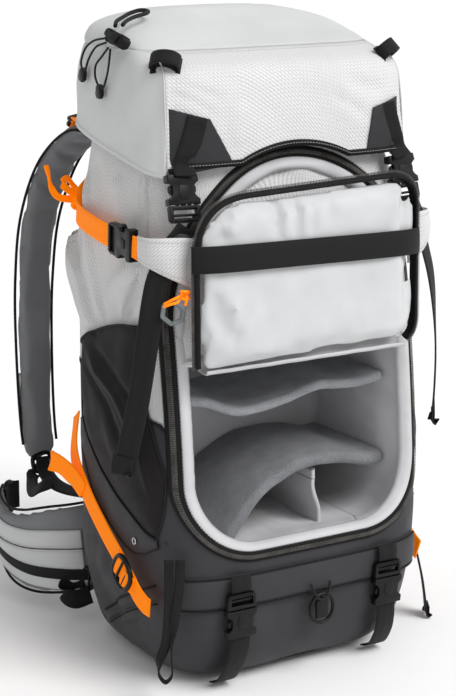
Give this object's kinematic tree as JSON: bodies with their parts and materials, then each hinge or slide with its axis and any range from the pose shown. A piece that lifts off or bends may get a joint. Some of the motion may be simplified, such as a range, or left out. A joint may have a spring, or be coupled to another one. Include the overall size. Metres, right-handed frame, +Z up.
{
  "type": "hiking camera backpack",
  "caption": "Tall hiking camera backpack in light grey and charcoal with orange straps, hinged lid, fold-up front door over a padded divider compartment, hip belt and harness.",
  "frame": {"origin": "centre of the flat base, on the surface it stands on", "axes": "+Z up, the camera door and front face -Y, the wearer's back and harness face +Y, +X the right-hand side seen from the front"},
  "size_m": [0.4314, 0.485, 0.726],
  "materials": {
    "ripstop": "light grey ripstop weave, matte",
    "coated_fabric": "charcoal coated fabric, faint speckle, matte",
    "stretch_fabric": "dark stretch knit, matte",
    "lining": "pale silvery lining, soft sheen",
    "felt_divider": "grey brushed felt over foam",
    "padding_cover": "dark grey mesh cloth over foam, matte",
    "belt_fabric": "light grey smooth fabric over foam, matte",
    "black_webbing": "black woven webbing and braided cord",
    "orange_webbing": "bright orange woven webbing",
    "zip": "black coil zip on woven tape",
    "black_plastic": "black moulded nylon, semi-matte"
  },
  "bodies": {
    "pack": {"base_boot": "coated_fabric", "back_panel": "coated_fabric", "front_panel_upper": "ripstop", "camera_box": "lining", "divider_upper": "felt_divider", "divider_lower": "felt_divider", "divider_small": "lining", "zip_track": "zip", "rain_pocket_flap": "coated_fabric", "back_pad": "padding_cover", "lumbar_pad": "padding_cover", "gear_loop": "black_webbing", "hanging_tail": "black_webbing", "side_panel_left": "ripstop", "side_panel_right": "ripstop", "side_pocket_left": "stretch_fabric", "side_pocket_right": "stretch_fabric", "side_buckle_socket_left": "black_plastic", "side_buckle_socket_right": "black_plastic", "side_tab_left": "ripstop", "side_tab_right": "ripstop", "ladder_lock_left": "black_plastic", "ladder_lock_right": "black_plastic", "lower_strap_left": "orange_webbing", "lower_strap_right": "orange_webbing", "bottom_buckle_socket_left": "black_plastic", "bottom_buckle_socket_right": "black_plastic", "bottom_strap_left": "black_webbing", "bottom_strap_right": "black_webbing", "lid_buckle_plug_left": "black_plastic", "lid_buckle_plug_right": "black_plastic", "lid_tail_left": "black_webbing", "lid_tail_right": "black_webbing", "load_lifter_left": "orange_webbing", "load_lifter_right": "orange_webbing"},
    "lid": {"lid_hood": "ripstop", "lid_strap_left": "black_webbing", "lid_strap_right": "black_webbing", "lid_buckle_socket_left": "black_plastic", "lid_buckle_socket_right": "black_plastic", "lid_loop_left": "black_webbing", "lid_loop_right": "black_webbing", "cord_lock": "black_plastic", "bungee_loop": "black_webbing", "pull_cord_rear": "black_webbing", "pull_cord_front": "black_webbing"},
    "door": {"door_panel": "lining", "door_band": "black_webbing"},
    "slider": {"zip_slider": "black_plastic"},
    "side_plug_left": {"side_buckle_plug_left": "black_plastic", "side_strap_left": "orange_webbing"},
    "side_plug_right": {"side_buckle_plug_right": "black_plastic", "side_strap_right": "orange_webbing"},
    "bottom_plug_left": {"bottom_buckle_plug_left": "black_plastic"},
    "bottom_plug_right": {"bottom_buckle_plug_right": "black_plastic"},
    "belt_left": {"hip_wing_left": "belt_fabric"},
    "belt_right": {"hip_wing_right": "belt_fabric"},
    "harness_left": {"shoulder_strap_left": "padding_cover"},
    "harness_right": {"shoulder_strap_right": "padding_cover"},
    "handle": {"haul_handle": "black_webbing"}
  },
  "joints": [
    {"name": "lid_hinge", "type": "hinge", "parent": "pack", "child": "lid", "pos_m": [0, 0.121, 0.606], "axis": [-1, 0, 0], "range_deg": [0, 90]},
    {"name": "door_fold", "type": "hinge", "parent": "pack", "child": "door", "pos_m": [0, -0.147, 0.357], "axis": [1, 0, 0], "range_deg": [0, 182]},
    {"name": "slider_travel", "type": "slide", "parent": "pack", "child": "slider", "axis": [0, -0.1624, -0.9867], "range_m": [0, 0.045]},
    {"name": "side_plug_left_travel", "type": "slide", "parent": "pack", "child": "side_plug_left", "axis": [0, 0.9992, 0.04], "range_m": [0, 0.022]},
    {"name": "side_plug_right_travel", "type": "slide", "parent": "pack", "child": "side_plug_right", "axis": [0, 0.9992, 0.04], "range_m": [0, 0.022]},
    {"name": "bottom_plug_left_travel", "type": "slide", "parent": "pack", "child": "bottom_plug_left", "axis": [0, -0.02, 0.9998], "range_m": [0, 0.024]},
    {"name": "bottom_plug_right_travel", "type": "slide", "parent": "pack", "child": "bottom_plug_right", "axis": [0, -0.02, 0.9998], "range_m": [0, 0.024]},
    {"name": "belt_left_swing", "type": "hinge", "parent": "pack", "child": "belt_left", "pos_m": [-0.116, 0.134, 0.088], "axis": [0, 0, 1], "range_deg": [-20, 25]},
    {"name": "belt_right_swing", "type": "hinge", "parent": "pack", "child": "belt_right", "pos_m": [0.116, 0.134, 0.088], "axis": [0, 0, 1], "range_deg": [-25, 20]},
    {"name": "harness_left_swing", "type": "hinge", "parent": "pack", "child": "harness_left", "pos_m": [-0.076, 0.131, 0.548], "axis": [0, 0, 1], "range_deg": [-15, 15]},
    {"name": "harness_right_swing", "type": "hinge", "parent": "pack", "child": "harness_right", "pos_m": [0.076, 0.131, 0.548], "axis": [0, 0, 1], "range_deg": [-15, 15]},
    {"name": "handle_swing", "type": "hinge", "parent": "pack", "child": "handle", "pos_m": [0, 0.1265, 0.574], "axis": [1, 0, 0], "range_deg": [0, 75]}
  ]
}
